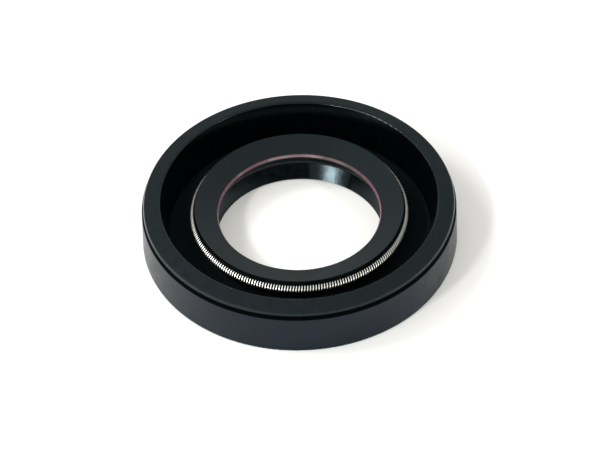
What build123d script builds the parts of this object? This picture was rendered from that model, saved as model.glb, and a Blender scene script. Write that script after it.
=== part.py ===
"""Radial shaft seal, rubber covered, with main lip, dust lip and garter spring.

The seal stands on its air-side face. Z is the shaft axis and points to the oil side.
The origin is the centre of the air-side face. Lengths are millimetres.
Section points are (radius, height) pairs in the XZ plane and are revolved about Z.
"""
import os
from math import cos, radians, sin, tan

from build123d import *

# --- Fits and overall size -------------------------------------------------------
HOUSING_BORE_DIAMETER = 47.0
WIDTH = 8.3
LIP_DIAMETER = 24.13  # free diameter of the sealing edge, for a 25 mm shaft

# --- Outside cover and rim -------------------------------------------------------
HEEL_CHAMFER_RADIAL = 0.15
HEEL_CHAMFER_AXIAL = 0.40
LEAD_IN_RADIAL = 0.32
LEAD_IN_AXIAL = 1.03
RIM_WIDTH = 2.77  # from the housing bore to the rim's own bore
RIM_CREST_WIDTH = 0.4  # flat at full height beside the rim bore
RIM_SLOPE_DROP = 0.75  # the rim face falls this far from the crest to its outer edge
RIM_INNER_ROUND = 0.22
RIM_OUTER_ROUND = 0.18

# --- Spring channel --------------------------------------------------------------
CHANNEL_WALL_DRAFT = 12.0  # degrees
CHANNEL_FLOOR_HEIGHT = 1.8
CHANNEL_CORNER_ROUND = 0.4
NECK_ROOT_ROUND = 0.6

# --- Main lip and neck -----------------------------------------------------------
SEALING_EDGE_HEIGHT = 5.33
SEALING_LAND = 0.15  # height of the short cylindrical land at the sealing edge
OIL_CONE_RADIAL = 0.24
OIL_CONE_AXIAL = 0.47
AIR_CONE_RADIAL = 1.19  # from the sealing edge out to the valley behind it
VALLEY_HEIGHT = 3.24
VALLEY_ROUND = 0.3
NECK_THICKNESS = 1.5
NECK_SHOULDER_DROP = 1.0  # from the spring groove's lowest point to the neck's shoulder

# --- Dust lip and heel -----------------------------------------------------------
DUST_LIP_STEP = 0.41  # the dust lip's bore is this far outside the sealing edge
DUST_LIP_TIP_HEIGHT = 0.3
DUST_LIP_TIP_WIDTH = 0.25
DUST_LIP_FLARE = 0.87  # outer side, from the tip out to the root
UNDERCUT_HEIGHT = 1.2
UNDERCUT_WIDTH = 0.45
UNDERCUT_CHAMFER = 0.75  # radial, from the undercut's roof to the heel face

# --- Garter spring ---------------------------------------------------------------
SPRING_OFFSET = 3.52  # from the sealing edge out to the coil's centre line
SPRING_COIL_DIAMETER = 1.46
SPRING_WIRE_DIAMETER = 0.38
SPRING_TURNS = 240
SPRING_SIDES = 6  # corners round one turn of the coil
SPRING_CENTRE_HEIGHT = 5.38
SPRING_CLEARANCE = 0.02  # between coil and groove
GROOVE_TOP_ANGLE = 66.0  # degrees above the outward direction, where the groove ends
GROOVE_BOTTOM_ANGLE = -60.0
HEAD_EDGE_OFFSET = 0.02  # the head's top edge is this far outside the coil's centre line
HEAD_COVER = 0.58  # rubber above the groove at the head's top edge

# --- Steel case ------------------------------------------------------------------
CASE_SIDE_COVER = 0.95  # rubber between the case and the housing
CASE_THICKNESS = 0.9
CASE_BOTTOM_COVER = 0.35
CASE_TOP_HEIGHT = 7.0
CASE_NECK_GAP = 1.0  # from the neck's outer side to the case's inner edge
CASE_BEND_RADIUS = 0.4  # inside of the bend

# --- Lip coating -----------------------------------------------------------------
COATING_THICKNESS = 0.12

# --- Places that several sections share ------------------------------------------
HOUSING_RADIUS = HOUSING_BORE_DIAMETER / 2
LIP_RADIUS = LIP_DIAMETER / 2
VALLEY_RADIUS = LIP_RADIUS + AIR_CONE_RADIAL
NECK_RADIUS = VALLEY_RADIUS + NECK_THICKNESS
SPRING_RING_RADIUS = LIP_RADIUS + SPRING_OFFSET
COIL_RADIUS = SPRING_COIL_DIAMETER / 2
GROOVE_RADIUS = COIL_RADIUS + SPRING_CLEARANCE
NECK_SHOULDER_HEIGHT = SPRING_CENTRE_HEIGHT - GROOVE_RADIUS - NECK_SHOULDER_DROP
HEAD_INNER_RADIUS = LIP_RADIUS + OIL_CONE_RADIAL
HEAD_INNER_HEIGHT = SEALING_EDGE_HEIGHT + OIL_CONE_AXIAL
HEAD_OUTER_RADIUS = SPRING_RING_RADIUS + HEAD_EDGE_OFFSET
HEAD_OUTER_HEIGHT = SPRING_CENTRE_HEIGHT + GROOVE_RADIUS + HEAD_COVER


def on_groove(angle):
    """Point of the spring groove's circle at an angle above the outward direction."""
    return (
        SPRING_RING_RADIUS + GROOVE_RADIUS * cos(radians(angle)),
        SPRING_CENTRE_HEIGHT + GROOVE_RADIUS * sin(radians(angle)),
    )


def corner_near(section, radius, height):
    """The section's corner closest to a point."""
    return section.vertices().sort_by_distance((radius, height))[0]


def revolved(face):
    """Turn a section in the XZ plane about the shaft axis."""
    return revolve(Plane.XZ * face, Axis.Z)


def case_section():
    """L section of the pressed steel case, with a constant sheet thickness at the bend."""
    outer = HOUSING_RADIUS - CASE_SIDE_COVER
    inner = outer - CASE_THICKNESS
    bore = NECK_RADIUS + CASE_NECK_GAP
    floor = CASE_BOTTOM_COVER + CASE_THICKNESS
    with BuildSketch() as section:
        with BuildLine():
            Polyline(
                (bore, CASE_BOTTOM_COVER),
                (outer, CASE_BOTTOM_COVER),
                (outer, CASE_TOP_HEIGHT),
                (inner, CASE_TOP_HEIGHT),
                (inner, floor),
                (bore, floor),
                close=True,
            )
        make_face()
        fillet(corner_near(section, outer, CASE_BOTTOM_COVER), CASE_BEND_RADIUS + CASE_THICKNESS)
        fillet(corner_near(section, inner, floor), CASE_BEND_RADIUS)
    return section.sketch


def coating_section():
    """Thin band that lies flush in the oil-side cone of the main lip."""
    slope = (OIL_CONE_RADIAL**2 + OIL_CONE_AXIAL**2) ** 0.5
    inward = (
        COATING_THICKNESS * OIL_CONE_AXIAL / slope,
        -COATING_THICKNESS * OIL_CONE_RADIAL / slope,
    )
    edge = (LIP_RADIUS, SEALING_EDGE_HEIGHT)
    top = (HEAD_INNER_RADIUS, HEAD_INNER_HEIGHT)
    with BuildSketch() as section:
        with BuildLine():
            Polyline(
                edge,
                (edge[0] + inward[0], edge[1] + inward[1]),
                (top[0] + inward[0], top[1] + inward[1]),
                top,
                close=True,
            )
        make_face()
    return section.sketch


def rubber_outline():
    """Closed section of the moulded rubber, before the case and coating are let in."""
    rim_bore = HOUSING_RADIUS - RIM_WIDTH
    rim_outer = HOUSING_RADIUS - LEAD_IN_RADIAL
    wall_foot = rim_bore - (WIDTH - CHANNEL_FLOOR_HEIGHT) * tan(radians(CHANNEL_WALL_DRAFT))
    dust_lip = LIP_RADIUS + DUST_LIP_STEP
    dust_root = dust_lip + DUST_LIP_TIP_WIDTH + DUST_LIP_FLARE
    undercut_end = dust_root + UNDERCUT_WIDTH
    heel_edge = HOUSING_RADIUS - HEEL_CHAMFER_RADIAL
    rounds = {
        (rim_outer, WIDTH - RIM_SLOPE_DROP): RIM_OUTER_ROUND,
        (rim_bore, WIDTH): RIM_INNER_ROUND,
        (wall_foot, CHANNEL_FLOOR_HEIGHT): CHANNEL_CORNER_ROUND,
        (NECK_RADIUS, CHANNEL_FLOOR_HEIGHT): NECK_ROOT_ROUND,
        (VALLEY_RADIUS, VALLEY_HEIGHT): VALLEY_ROUND,
    }
    with BuildSketch() as section:
        with BuildLine():
            channel_side = Polyline(
                (heel_edge, 0),
                (HOUSING_RADIUS, HEEL_CHAMFER_AXIAL),
                (HOUSING_RADIUS, WIDTH - RIM_SLOPE_DROP - LEAD_IN_AXIAL),
                (rim_outer, WIDTH - RIM_SLOPE_DROP),
                (rim_bore + RIM_CREST_WIDTH, WIDTH),
                (rim_bore, WIDTH),
                (wall_foot, CHANNEL_FLOOR_HEIGHT),
                (NECK_RADIUS, CHANNEL_FLOOR_HEIGHT),
                (NECK_RADIUS, NECK_SHOULDER_HEIGHT),
                on_groove(GROOVE_BOTTOM_ANGLE),
            )
            ThreePointArc(
                channel_side @ 1,
                on_groove((GROOVE_TOP_ANGLE + GROOVE_BOTTOM_ANGLE) / 2 + 180),
                on_groove(GROOVE_TOP_ANGLE),
            )
            Polyline(
                on_groove(GROOVE_TOP_ANGLE),
                (HEAD_OUTER_RADIUS, HEAD_OUTER_HEIGHT),
                (HEAD_INNER_RADIUS, HEAD_INNER_HEIGHT),
                (LIP_RADIUS, SEALING_EDGE_HEIGHT),
                (LIP_RADIUS, SEALING_EDGE_HEIGHT - SEALING_LAND),
                (VALLEY_RADIUS, VALLEY_HEIGHT),
                (dust_lip, DUST_LIP_TIP_HEIGHT),
                (dust_lip + DUST_LIP_TIP_WIDTH, DUST_LIP_TIP_HEIGHT),
                (dust_root, UNDERCUT_HEIGHT),
                (undercut_end, UNDERCUT_HEIGHT),
                (undercut_end + UNDERCUT_CHAMFER, 0),
                (heel_edge, 0),
            )
        make_face()
        for (radius, height), size in rounds.items():
            fillet(corner_near(section, radius, height), size)
    return section.sketch


def rubber_body():
    """One moulded piece: cover, rim, channel, lip head, main lip, dust lip and heel."""
    return revolved(rubber_outline() - case_section() - coating_section())


def coil_ring(turn_share, corner_radius):
    """Corners of one ring round the coil, at a share of the whole spring ring."""
    ring = []
    for corner in range(SPRING_SIDES):
        angle = 360 * corner / SPRING_SIDES
        radius = SPRING_RING_RADIUS + corner_radius * cos(radians(angle))
        ring.append(
            Vector(
                radius * cos(radians(360 * turn_share)),
                radius * sin(radians(360 * turn_share)),
                SPRING_CENTRE_HEIGHT + corner_radius * sin(radians(angle)),
            )
        )
    return ring


def garter_spring():
    """Close-wound ring spring: each turn is a ridge between two valleys of the wire."""
    valley_radius = COIL_RADIUS - SPRING_WIRE_DIAMETER / 2
    rings = []
    for half_turn in range(2 * SPRING_TURNS):
        corner_radius = COIL_RADIUS if half_turn % 2 else valley_radius
        rings.append(coil_ring(half_turn / (2 * SPRING_TURNS), corner_radius))
    faces = []
    for place, near in enumerate(rings):
        far = rings[(place + 1) % len(rings)]
        for corner in range(SPRING_SIDES):
            following = (corner + 1) % SPRING_SIDES
            a, b = near[corner], near[following]
            c, d = far[following], far[corner]
            faces.append(Face(Wire.make_polygon([a, b, d], close=True)))
            faces.append(Face(Wire.make_polygon([b, c, d], close=True)))
    return Solid(Shell(faces))


def build_nodes():
    """Every sub-part by its node name."""
    return {
        "rubber_body": rubber_body(),
        "steel_case": revolved(case_section()),
        "garter_spring": garter_spring(),
        "lip_coating": revolved(coating_section()),
    }


def main():
    os.makedirs("parts", exist_ok=True)
    for name, shape in build_nodes().items():
        export_step(shape, f"parts/{name}.step")


main()
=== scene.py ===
"""Studio picture of the radial shaft seal: the CAD frame in rubber, with a wound wire spring."""

from math import cos, pi, radians, sin

import bpy
from mathutils import Euler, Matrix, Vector


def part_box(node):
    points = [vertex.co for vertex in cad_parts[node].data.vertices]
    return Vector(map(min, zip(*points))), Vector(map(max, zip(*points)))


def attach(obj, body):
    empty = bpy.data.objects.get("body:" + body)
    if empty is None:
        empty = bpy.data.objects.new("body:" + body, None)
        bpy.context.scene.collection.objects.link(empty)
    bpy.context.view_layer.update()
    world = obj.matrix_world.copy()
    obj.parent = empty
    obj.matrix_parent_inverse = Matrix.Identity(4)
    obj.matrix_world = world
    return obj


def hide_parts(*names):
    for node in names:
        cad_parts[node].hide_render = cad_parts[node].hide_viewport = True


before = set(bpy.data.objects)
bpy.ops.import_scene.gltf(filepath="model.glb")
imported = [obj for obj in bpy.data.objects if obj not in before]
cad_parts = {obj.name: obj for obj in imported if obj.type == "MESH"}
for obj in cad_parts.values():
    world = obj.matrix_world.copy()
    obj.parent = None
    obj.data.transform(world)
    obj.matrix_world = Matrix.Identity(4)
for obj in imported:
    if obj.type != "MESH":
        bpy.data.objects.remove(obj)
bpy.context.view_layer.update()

MM = 0.001
WHITE = (1.0, 1.0, 1.0, 1)

# --- Camera: a long lens, so the view is close to parallel -------------------------
PICTURE_WIDTH = 600  # pixels
PIXELS_PER_MM = 6.690  # at the target
CAMERA_ELEVATION = 44.94  # degrees above the floor
CAMERA_ROLL = -1.89  # degrees
CAMERA_DISTANCE = 1.5  # metres
CAMERA_TARGET = Vector((0.05 * MM, 0.0, 2.935 * MM))
SENSOR_WIDTH = 36.0
CLIP_NEAR, CLIP_FAR = 0.05, 50.0  # metres

# --- Wire of the garter spring -----------------------------------------------------
WIRE_DIAMETER = 0.38 * MM
SPRING_TURNS = 240
STEPS_PER_TURN = 16
WIRE_SIDES = 12
CAD_CORNER_ANGLE = radians(60)  # of the six-sided CAD ring's highest corners

# --- Light -------------------------------------------------------------------------
SURROUND_LEVEL = 0.68  # of the room on matt surfaces
BACKDROP_LEVEL = 1.0  # seen by the camera and in reflections
FLOOR_SIZE = 4.0  # metres
FLOOR_HEIGHT = -0.02 * MM  # just under the heel, so the two faces never share a plane
FLOOR_COLOUR = (0.8, 0.8, 0.8, 1)
FLOOR_ROUGHNESS = 0.8
FLOOR_SPECULAR = 0.1
FLOOR_GLOW = 0.15  # added where the floor is seen or reflected, so that it shows as white
FLOOR_GLOW_COLOUR = (1.0, 0.97, 0.78, 1)
LAMPS = {  # name: place in metres, side in metres, power in watts
    "key": ((-0.42, 0.08, 0.46), 0.24, 2.0),
    "left": ((-0.37, -0.19, 0.42), 0.10, 0.3),
    "fill": ((0.42, -0.22, 0.40), 0.065, 0.75),
    "front": ((-0.31, -0.31, 0.42), 0.075, 1.4),
}

# --- Places on the rubber body -----------------------------------------------------
ZONE_BLEND = 0.10 * MM
ZONES = {  # name: inner radius, outer radius, bottom and top in mm, None for no limit
    "bore": (None, 13.9, None, 5.1),  # the inner side of both lips
    "dust_lip": (None, 13.9, None, 3.0),
    "channel_floor": (13.9, 20.93, 1.0, 2.4),
    "channel_wall": (16.2, 20.93, None, None),
    "rim": (20.93, 23.10, 7.45, None),
    "edge": (23.10, None, 7.20, None),  # the rim's outer edge
    "corner": (22.4, None, 6.40, 7.15),  # the line under that edge, darkened by painted shade
    "wall": (23.40, None, None, 6.40),
    # Painted shade: the heel chamfer is darkened into a dark line along the bottom edge
    "heel_chamfer": (23.25, None, None, 0.50),
}
GLINT_AZIMUTH = radians(67.5)  # middle of the smooth patch on the dust lip
GLINT_FULL, GLINT_NONE = radians(3), radians(17)  # from the middle
SHADED_STRETCH_AZIMUTH = radians(49)  # middle of the stretch of the coating darkened by painted shade
SHADED_STRETCH_FULL, SHADED_STRETCH_NONE = radians(16), radians(31)  # from the middle
SHADED_STRETCH_SHARE = 0.45  # of the painted shade's dark colour at its middle

# Shares by which shading normals lean upwards
DUST_LIP_LEAN = 0.18
GLINT_LEAN = 0.56  # more, on the smooth patch
RIM_LEAN = 0.66
EDGE_LEAN = -0.56  # downwards, so the rim's outer edge shines at grazing angles
WIRE_LEAN = 0.80

# --- Looks. Each noise is given as cells per metre, detail and roughness -----------
NOISE_LOW, NOISE_HIGH = 0.3, 0.7  # a noise seldom leaves this range
RUBBER_MOTTLE = (700.0, 6.0, 0.6)
COATING_PATCHES = (620.0, 5.0, 0.65)
WIDE_PATCHES = (110.0, 2.0, 0.5)
TURNING_WEAR = (420.0, 4.0, 0.6)
WIRE_TARNISH = (500.0, 4.0, 0.6)
CASE_MOTTLE = (400.0, 4.0, 0.6)
GLINT_SPECKS = (3600.0, 2.0, 0.5)

FINISHES = {  # name: noise, lowest and highest roughness
    "satin": ((260.0, 3.0, 0.5), (0.32, 0.42)),
    "smooth": ((900.0, 3.0, 0.5), (0.12, 0.19)),
    "rubbed": ((900.0, 3.0, 0.5), (0.13, 0.21)),
    "drawn": ((500.0, 3.0, 0.5), (0.25, 0.34)),
    "matt": ((700.0, 3.0, 0.5), (0.94, 1.0)),
    "moulded": ((1100.0, 3.0, 0.5), (0.16, 0.26)),
    "turned": ((800.0, 4.0, 0.6), (0.64, 0.80)),
    "wire": ((5000.0, 3.0, 0.5), (0.22, 0.34)),
    "coating": ((2500.0, 3.0, 0.5), (0.36, 0.56)),
    "case": ((3000.0, 3.0, 0.5), (0.3, 0.42)),
}
RELIEFS = {  # name: noise, depth in mm, strength
    "rubber_grain": ((9000.0, 5.0, 0.6), 0.012, 0.3),
    "rubber_waves": ((1300.0, 3.0, 0.5), 0.03, 0.2),
    "wire_marks": ((12000.0, 3.0, 0.5), 0.008, 0.15),
    "coating_grain": ((8000.0, 4.0, 0.6), 0.02, 0.3),
    "case_grain": ((6000.0, 3.0, 0.5), 0.01, 0.2),
}
TURNING_PITCH = 0.22 * MM  # of the fine rings that turning leaves
TURNING_DEPTH, TURNING_STRENGTH = 0.004 * MM, 0.12
SPECK_DEPTH, SPECK_STRENGTH = 0.03 * MM, 0.5

# Colours as pairs, for the low and the high end of their noise
RUBBER_BLACK = ((0.0003, 0.0006, 0.0008), (0.0009, 0.0015, 0.0019))
# Painted reflection: a bluish tint in the outer wall's base colour stands in for the bluish shine
# it reflects
WALL_REFLECTION_BLUE = ((0.0005, 0.0010, 0.005), (0.0012, 0.0022, 0.009))
COATING_ROSE = ((0.105, 0.037, 0.050), (0.235, 0.120, 0.148))
COATING_GREY = ((0.145, 0.092, 0.098), (0.290, 0.215, 0.225))
# Dark colour of the painted shade on the coating's upper edge and along one stretch
COATING_SHADE_COLOURS = ((0.010, 0.006, 0.007), (0.045, 0.024, 0.028))
WIRE_STEEL = ((0.90, 0.87, 0.76), (0.98, 0.97, 0.92))
CASE_STEEL = ((0.42, 0.43, 0.44), (0.55, 0.56, 0.57))
CREVICE_SHADE = (0.010, 0.014)  # greys of the painted shade in the crevices between the wire's turns

GREY_PATCHES = (0.42, 0.60)  # range of the wide noise over which rose turns to grey
SHADED_EDGE_RANGE = (0.70, 0.86)  # range of the coating's height over which painted shade darkens its upper edge
CREVICE_SHADE_RANGE = (0.21, 0.39)  # range of the crevice value over which painted shade turns the wire dark
PAINTED_SHADE_SHARE = 0.85  # of the mirror shine that the rubber loses in its lines of painted shade
RUBBER_IOR = 1.5
RUBBER_SPECULAR = 0.25
RUBBER_TINT = (0.68, 0.92, 1.0, 1)
COATING_SPECULAR = 0.2


# --- Node helpers ------------------------------------------------------------------
def new_material(name):
    """Empty node material with its output and a Principled surface."""
    material = bpy.data.materials.new(name)
    material.use_nodes = True
    tree = material.node_tree
    tree.nodes.clear()
    output = tree.nodes.new("ShaderNodeOutputMaterial")
    surface = tree.nodes.new("ShaderNodeBsdfPrincipled")
    surface.distribution = "GGX"
    tree.links.new(surface.outputs["BSDF"], output.inputs["Surface"])
    return material, tree, surface


def object_place(tree):
    """Position in the object's own coordinates."""
    return tree.nodes.new("ShaderNodeTexCoord").outputs["Object"]


def noise(tree, scale, detail, roughness):
    """Noise in the object's own coordinates, at a scale in cells per metre."""
    texture = tree.nodes.new("ShaderNodeTexNoise")
    texture.inputs["Scale"].default_value = scale
    texture.inputs["Detail"].default_value = detail
    texture.inputs["Roughness"].default_value = roughness
    tree.links.new(object_place(tree), texture.inputs["Vector"])
    return texture.outputs["Fac"]


def maths(tree, operation, first, second=0.0):
    """Math node on two values, each a socket or a number."""
    node = tree.nodes.new("ShaderNodeMath")
    node.operation = operation
    for place, value in enumerate((first, second)):
        if isinstance(value, float):
            node.inputs[place].default_value = value
        else:
            tree.links.new(value, node.inputs[place])
    return node.outputs["Value"]


def product(tree, *shares):
    """Shares multiplied together."""
    total = shares[0]
    for share in shares[1:]:
        total = maths(tree, "MULTIPLY", total, share)
    return total


def ramp(tree, value, stops):
    """Colour ramp through (place, grey or colour) stops."""
    node = tree.nodes.new("ShaderNodeValToRGB")
    for element, (place, colour) in zip(node.color_ramp.elements, stops):
        element.position = place
        element.color = (colour, colour, colour, 1) if isinstance(colour, float) else (*colour, 1)
    tree.links.new(value, node.inputs["Fac"])
    return node.outputs["Color"]


def toned(tree, value, pair):
    """The greys or colours of a pair, mixed by a noise."""
    return ramp(tree, value, [(NOISE_LOW, pair[0]), (NOISE_HIGH, pair[1])])


def rising(tree, value, start_and_end):
    """0 up to a range's start and 1 from its end on."""
    start, end = start_and_end
    return ramp(tree, value, [(start, 0.0), (end, 1.0)])


def blend(tree, share, first, second):
    """Mix of two colours or greys by a share."""
    node = tree.nodes.new("ShaderNodeMix")
    node.data_type = "RGBA"
    tree.links.new(share, node.inputs["Factor"])
    tree.links.new(first, node.inputs["A"])
    tree.links.new(second, node.inputs["B"])
    return node.outputs["Result"]


def finish(tree, name):
    """Roughness of a named finish, a little uneven."""
    cells, pair = FINISHES[name]
    return toned(tree, noise(tree, *cells), pair)


def bump(tree, height, depth, strength, under=None):
    """Bump from a height, on top of another normal where one is given."""
    node = tree.nodes.new("ShaderNodeBump")
    node.inputs["Distance"].default_value = depth
    node.inputs["Strength"].default_value = strength
    tree.links.new(height, node.inputs["Height"])
    if under is not None:
        tree.links.new(under, node.inputs["Normal"])
    return node.outputs["Normal"]


def relief(tree, name, under=None):
    """Bump of a named relief, on top of another normal where one is given."""
    cells, depth, strength = RELIEFS[name]
    return bump(tree, noise(tree, *cells), depth * MM, strength, under)


def leaned_normal(tree, lean):
    """Surface normal that leans upwards by a share, a socket or a number."""
    up = tree.nodes.new("ShaderNodeCombineXYZ")
    if isinstance(lean, float):
        up.inputs["Z"].default_value = lean
    else:
        tree.links.new(lean, up.inputs["Z"])
    total = tree.nodes.new("ShaderNodeVectorMath")
    total.operation = "ADD"
    tree.links.new(tree.nodes.new("ShaderNodeNewGeometry").outputs["Normal"], total.inputs[0])
    tree.links.new(up.outputs["Vector"], total.inputs[1])
    unit = tree.nodes.new("ShaderNodeVectorMath")
    unit.operation = "NORMALIZE"
    tree.links.new(total.outputs["Vector"], unit.inputs[0])
    return unit.outputs["Vector"]


# --- Places on the seal ------------------------------------------------------------
def out_from_axis(tree):
    """Vector from the shaft axis to a point, level with the floor."""
    level = tree.nodes.new("ShaderNodeVectorMath")
    level.operation = "MULTIPLY"
    level.inputs[1].default_value = (1.0, 1.0, 0.0)
    tree.links.new(object_place(tree), level.inputs[0])
    return level.outputs["Vector"]


def radius_from_axis(tree):
    """Distance from the shaft axis, in metres."""
    length = tree.nodes.new("ShaderNodeVectorMath")
    length.operation = "LENGTH"
    tree.links.new(out_from_axis(tree), length.inputs[0])
    return length.outputs["Value"]


def height_above_heel(tree):
    """Height in metres above the heel face."""
    split = tree.nodes.new("ShaderNodeSeparateXYZ")
    tree.links.new(object_place(tree), split.inputs["Vector"])
    return split.outputs["Z"]


def near_azimuth(tree, azimuth, full, none):
    """1 within an angle of an azimuth round the shaft axis, falling to 0 at a wider one."""
    unit = tree.nodes.new("ShaderNodeVectorMath")
    unit.operation = "NORMALIZE"
    tree.links.new(out_from_axis(tree), unit.inputs[0])
    match = tree.nodes.new("ShaderNodeVectorMath")
    match.operation = "DOT_PRODUCT"
    match.inputs[1].default_value = (cos(azimuth), sin(azimuth), 0.0)
    tree.links.new(unit.outputs["Vector"], match.inputs[0])
    node = tree.nodes.new("ShaderNodeMapRange")
    node.interpolation_type = "SMOOTHSTEP"
    node.inputs["From Min"].default_value = cos(none)
    node.inputs["From Max"].default_value = cos(full)
    tree.links.new(match.outputs["Value"], node.inputs["Value"])
    return node.outputs["Result"]


def below(tree, value, limit):
    """1 where a length is under its limit, 0 past it, with a short blend between."""
    node = tree.nodes.new("ShaderNodeMapRange")
    node.inputs["From Min"].default_value = limit - ZONE_BLEND / 2
    node.inputs["From Max"].default_value = limit + ZONE_BLEND / 2
    node.inputs["To Min"].default_value = 1.0
    node.inputs["To Max"].default_value = 0.0
    tree.links.new(value, node.inputs["Value"])
    return node.outputs["Result"]


def above(tree, value, limit):
    """1 where a length is over its limit, 0 under it, with a short blend between."""
    return maths(tree, "SUBTRACT", 1.0, below(tree, value, limit))


def zone(tree, name, radius, height):
    """1 inside a named zone of the rubber body and 0 outside it."""
    inner, outer, bottom, top = ZONES[name]
    sides = (
        (above, radius, inner),
        (below, radius, outer),
        (above, height, bottom),
        (below, height, top),
    )
    given = [side for side in sides if side[2] is not None]
    return product(tree, *(past(tree, value, limit * MM) for past, value, limit in given))


# --- Materials ---------------------------------------------------------------------
def rubber_material():
    """Black moulded nitrile rubber, with its own finish on each face."""
    material, tree, surface = new_material("black_rubber")
    radius = radius_from_axis(tree)
    height = height_above_heel(tree)
    on = {name: zone(tree, name, radius, height) for name in ZONES}
    near_glint = near_azimuth(tree, GLINT_AZIMUTH, GLINT_FULL, GLINT_NONE)
    glint = product(tree, on["dust_lip"], near_glint)

    mottle = noise(tree, *RUBBER_MOTTLE)
    black = toned(tree, mottle, RUBBER_BLACK)
    # Painted reflection: the outer wall's black is tinted bluish
    colour = blend(tree, on["wall"], black, toned(tree, mottle, WALL_REFLECTION_BLUE))
    tree.links.new(colour, surface.inputs["Base Color"])
    # Painted shade: a metallic share over the black base colour takes the shine off the corner line
    # and the heel chamfer
    painted_shade = maths(tree, "MAXIMUM", on["corner"], on["heel_chamfer"])
    tree.links.new(maths(tree, "MULTIPLY", painted_shade, PAINTED_SHADE_SHARE), surface.inputs["Metallic"])

    roughness = finish(tree, "satin")
    for place, name in (
        (on["channel_wall"], "smooth"),
        (on["rim"], "turned"),
        (on["wall"], "drawn"),
        (maths(tree, "MAXIMUM", on["channel_floor"], on["corner"]), "matt"),
        (on["bore"], "moulded"),
        (on["edge"], "smooth"),
        (glint, "rubbed"),
    ):
        roughness = blend(tree, place, roughness, finish(tree, name))
    tree.links.new(roughness, surface.inputs["Roughness"])

    lean = 0.0
    for place, share in (
        (on["dust_lip"], DUST_LIP_LEAN),
        (glint, GLINT_LEAN),
        (on["rim"], RIM_LEAN),
        (on["edge"], EDGE_LEAN),
    ):
        lean = maths(tree, "ADD", lean, maths(tree, "MULTIPLY", place, share))
    rings = maths(tree, "SINE", maths(tree, "MULTIPLY", radius, 2 * pi / TURNING_PITCH))
    worn_rings = product(tree, rings, noise(tree, *TURNING_WEAR))
    turned = bump(tree, worn_rings, TURNING_DEPTH, TURNING_STRENGTH, leaned_normal(tree, lean))
    moulded = relief(tree, "rubber_waves", relief(tree, "rubber_grain", turned))
    specks = product(tree, noise(tree, *GLINT_SPECKS), glint)
    speckled = bump(tree, specks, SPECK_DEPTH, SPECK_STRENGTH, moulded)
    tree.links.new(speckled, surface.inputs["Normal"])
    surface.inputs["IOR"].default_value = RUBBER_IOR
    surface.inputs["Specular IOR Level"].default_value = RUBBER_SPECULAR
    surface.inputs["Specular Tint"].default_value = RUBBER_TINT
    return material


def wire_material():
    """Bright drawn spring wire, with painted shade, nearly black, in the crevices between its
    turns.
    """
    material, tree, surface = new_material("spring_wire")
    bright = toned(tree, noise(tree, *WIRE_TARNISH), WIRE_STEEL)
    crevice = tree.nodes.new("ShaderNodeAttribute")
    crevice.attribute_name = "crevice"
    depth = crevice.outputs["Fac"]
    # Painted shade in the crevices between the turns
    crevice_shade = ramp(tree, depth, [(0.0, CREVICE_SHADE[0]), (1.0, CREVICE_SHADE[1])])
    colour = blend(tree, rising(tree, depth, CREVICE_SHADE_RANGE), bright, crevice_shade)
    tree.links.new(colour, surface.inputs["Base Color"])
    tree.links.new(finish(tree, "wire"), surface.inputs["Roughness"])
    marked = relief(tree, "wire_marks", leaned_normal(tree, WIRE_LEAN))
    tree.links.new(marked, surface.inputs["Normal"])
    surface.inputs["Metallic"].default_value = 1.0
    return material


def coating_material():
    """Thin rose-brown coating of the main lip's oil side, uneven, with painted shade on its upper
    edge and along one stretch.
    """
    material, tree, surface = new_material("rose_coating")
    patches = noise(tree, *COATING_PATCHES)
    greyed = rising(tree, noise(tree, *WIDE_PATCHES), GREY_PATCHES)
    rose = toned(tree, patches, COATING_ROSE)
    coated = blend(tree, greyed, rose, toned(tree, patches, COATING_GREY))
    low, high = (corner[2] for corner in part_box("lip_coating"))
    across = tree.nodes.new("ShaderNodeMapRange")
    across.inputs["From Min"].default_value = low
    across.inputs["From Max"].default_value = high
    tree.links.new(height_above_heel(tree), across.inputs["Value"])
    # Painted shade on the coating's upper edge
    shaded_edge = rising(tree, across.outputs["Result"], SHADED_EDGE_RANGE)
    # Painted shade along one stretch of the coating
    shaded_stretch = near_azimuth(tree, SHADED_STRETCH_AZIMUTH, SHADED_STRETCH_FULL, SHADED_STRETCH_NONE)
    coating_shade = maths(tree, "MAXIMUM", shaded_edge, maths(tree, "MULTIPLY", shaded_stretch, SHADED_STRETCH_SHARE))
    colour = blend(tree, coating_shade, coated, toned(tree, patches, COATING_SHADE_COLOURS))
    tree.links.new(colour, surface.inputs["Base Color"])
    tree.links.new(finish(tree, "coating"), surface.inputs["Roughness"])
    tree.links.new(relief(tree, "coating_grain"), surface.inputs["Normal"])
    surface.inputs["Specular IOR Level"].default_value = COATING_SPECULAR
    return material


def case_material():
    """Pressed sheet steel of the embedded case, with a fine grain."""
    material, tree, surface = new_material("case_steel")
    tree.links.new(toned(tree, noise(tree, *CASE_MOTTLE), CASE_STEEL), surface.inputs["Base Color"])
    tree.links.new(finish(tree, "case"), surface.inputs["Roughness"])
    tree.links.new(relief(tree, "case_grain"), surface.inputs["Normal"])
    surface.inputs["Metallic"].default_value = 1.0
    return material


def seen_directly_or_reflected(tree):
    """1 for camera, glossy and transmission rays, 0 for the light on matt surfaces."""
    ray = tree.nodes.new("ShaderNodeLightPath").outputs
    camera_or_glossy = maths(tree, "MAXIMUM", ray["Is Camera Ray"], ray["Is Glossy Ray"])
    return maths(tree, "MAXIMUM", camera_or_glossy, ray["Is Transmission Ray"])


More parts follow.
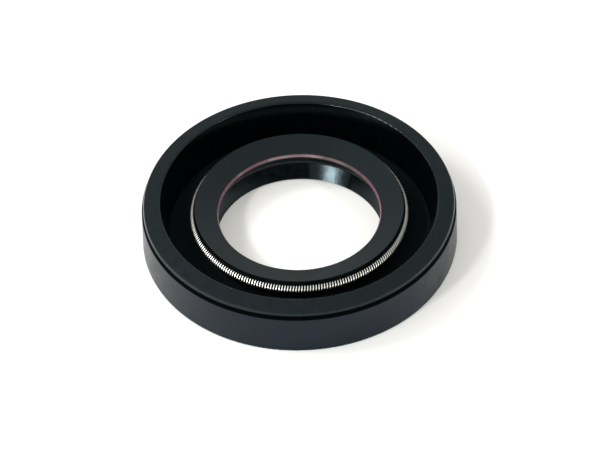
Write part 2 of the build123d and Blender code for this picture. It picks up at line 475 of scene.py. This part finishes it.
def floor_material():
    """Pale floor that shows as white, with the object's shadow on it."""
    material, tree, surface = new_material("floor")
    surface.inputs["Base Color"].default_value = FLOOR_COLOUR
    surface.inputs["Roughness"].default_value = FLOOR_ROUGHNESS
    surface.inputs["Specular IOR Level"].default_value = FLOOR_SPECULAR
    glow = tree.nodes.new("ShaderNodeEmission")
    glow.inputs["Color"].default_value = FLOOR_GLOW_COLOUR
    glow.inputs["Strength"].default_value = FLOOR_GLOW
    both = tree.nodes.new("ShaderNodeAddShader")
    tree.links.new(surface.outputs["BSDF"], both.inputs[0])
    tree.links.new(glow.outputs["Emission"], both.inputs[1])
    choice = tree.nodes.new("ShaderNodeMixShader")
    tree.links.new(seen_directly_or_reflected(tree), choice.inputs["Fac"])
    tree.links.new(surface.outputs["BSDF"], choice.inputs[1])
    tree.links.new(both.outputs["Shader"], choice.inputs[2])
    output = next(node for node in tree.nodes if node.type == "OUTPUT_MATERIAL")
    tree.links.new(choice.outputs["Shader"], output.inputs["Surface"])
    return material


# --- Garter spring -----------------------------------------------------------------
def spring_centre_line(ring_radius, coil_radius, height):
    """Points of the wire's centre line with the directions across it, all round the ring."""
    steps = SPRING_TURNS * STEPS_PER_TURN
    wound_radius = coil_radius - WIRE_DIAMETER / 2
    advance = ring_radius * 2 * pi / SPRING_TURNS
    upward = Vector((0, 0, 1))
    for step in range(steps):
        round_ring = 2 * pi * step / steps
        round_coil = 2 * pi * step / STEPS_PER_TURN
        outward = Vector((cos(round_ring), sin(round_ring), 0))
        along = Vector((-sin(round_ring), cos(round_ring), 0))
        away = outward * cos(round_coil) + upward * sin(round_coil)
        turning = upward * cos(round_coil) - outward * sin(round_coil)
        tangent = (turning * 2 * pi * wound_radius + along * advance).normalized()
        centre = outward * ring_radius + upward * height + away * wound_radius
        yield centre, away, tangent.cross(away)


def wire_spring(material):
    """Closed ring of wire wound as one long helix, in place of the ribbed CAD ring."""
    low, high = (Vector(corner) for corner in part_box("garter_spring"))
    coil_radius = (high.z - low.z) / 2 / sin(CAD_CORNER_ANGLE)
    ring_radius = (high.x - low.x) / 2 - coil_radius
    vertices, faces, crevices = [], [], []
    for centre, away, side in spring_centre_line(ring_radius, coil_radius, (high.z + low.z) / 2):
        for corner in range(WIRE_SIDES):
            angle = 2 * pi * corner / WIRE_SIDES
            vertices.append(centre + (away * cos(angle) + side * sin(angle)) * WIRE_DIAMETER / 2)
            crevices.append(abs(sin(angle)))
    rings = len(vertices) // WIRE_SIDES
    for ring in range(rings):
        near, far = ring * WIRE_SIDES, (ring + 1) % rings * WIRE_SIDES
        for corner in range(WIRE_SIDES):
            following = (corner + 1) % WIRE_SIDES
            faces.append((near + corner, near + following, far + following, far + corner))
    mesh = bpy.data.meshes.new("garter_spring_wire")
    mesh.from_pydata(vertices, [], faces)
    mesh.polygons.foreach_set("use_smooth", [True] * len(faces))
    mesh.attributes.new("crevice", "FLOAT", "POINT").data.foreach_set("value", crevices)
    mesh.materials.append(material)
    spring = bpy.data.objects.new("garter_spring_wire", mesh)
    bpy.context.collection.objects.link(spring)
    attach(spring, "root")
    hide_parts("garter_spring")


def dress(node, material):
    """Give a CAD node its material."""
    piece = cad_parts[node]
    piece.data.materials.clear()
    piece.data.materials.append(material)


# --- Stage -------------------------------------------------------------------------
def lay_floor():
    """Large pale floor under the seal."""
    bpy.ops.mesh.primitive_plane_add(size=FLOOR_SIZE, location=(0, 0, FLOOR_HEIGHT))
    floor = bpy.context.object
    floor.name = "floor"
    floor.data.materials.append(floor_material())


def soft_lamp(name, place, size, power):
    """Square area lamp that faces the seal."""
    lamp = bpy.data.lights.new(name, "AREA")
    lamp.shape = "SQUARE"
    lamp.size = size
    lamp.energy = power
    holder = bpy.data.objects.new(name, lamp)
    holder.location = place
    holder.rotation_euler = (-Vector(place)).to_track_quat("-Z", "Y").to_euler()
    bpy.context.collection.objects.link(holder)


def light_room():
    """White surroundings to look at and reflect, softer light on matt surfaces, and lamps."""
    world = bpy.data.worlds.new("studio")
    bpy.context.scene.world = world
    world.use_nodes = True
    tree = world.node_tree
    surround = tree.nodes["Background"]
    surround.inputs["Color"].default_value = WHITE
    surround.inputs["Strength"].default_value = SURROUND_LEVEL
    backdrop = tree.nodes.new("ShaderNodeBackground")
    backdrop.inputs["Color"].default_value = WHITE
    backdrop.inputs["Strength"].default_value = BACKDROP_LEVEL
    choice = tree.nodes.new("ShaderNodeMixShader")
    tree.links.new(seen_directly_or_reflected(tree), choice.inputs["Fac"])
    tree.links.new(surround.outputs["Background"], choice.inputs[1])
    tree.links.new(backdrop.outputs["Background"], choice.inputs[2])
    tree.links.new(choice.outputs["Shader"], tree.nodes["World Output"].inputs["Surface"])
    for name, (place, size, power) in LAMPS.items():
        soft_lamp(name, place, size, power)


def aim_camera():
    """Camera at the picture's angle, with its small roll."""
    lens = bpy.data.cameras.new("camera")
    lens.sensor_width = SENSOR_WIDTH
    lens.lens = PIXELS_PER_MM / MM * CAMERA_DISTANCE / PICTURE_WIDTH * SENSOR_WIDTH
    lens.clip_start = CLIP_NEAR
    lens.clip_end = CLIP_FAR
    camera = bpy.data.objects.new("camera", lens)
    elevation = radians(CAMERA_ELEVATION)
    towards_camera = Vector((0, -cos(elevation), sin(elevation)))
    camera.location = CAMERA_TARGET + towards_camera * CAMERA_DISTANCE
    tilt = Euler((pi / 2 - elevation, 0, 0)).to_matrix()
    roll = Euler((0, 0, radians(CAMERA_ROLL))).to_matrix()
    camera.rotation_euler = (tilt @ roll).to_euler()
    bpy.context.collection.objects.link(camera)
    bpy.context.scene.camera = camera


def main():
    """Dress the frame, wind the spring and set the stage."""
    bpy.context.scene.view_settings.view_transform = "Standard"
    dress("rubber_body", rubber_material())
    dress("steel_case", case_material())
    dress("lip_coating", coating_material())
    wire_spring(wire_material())
    lay_floor()
    light_room()
    aim_camera()


main()
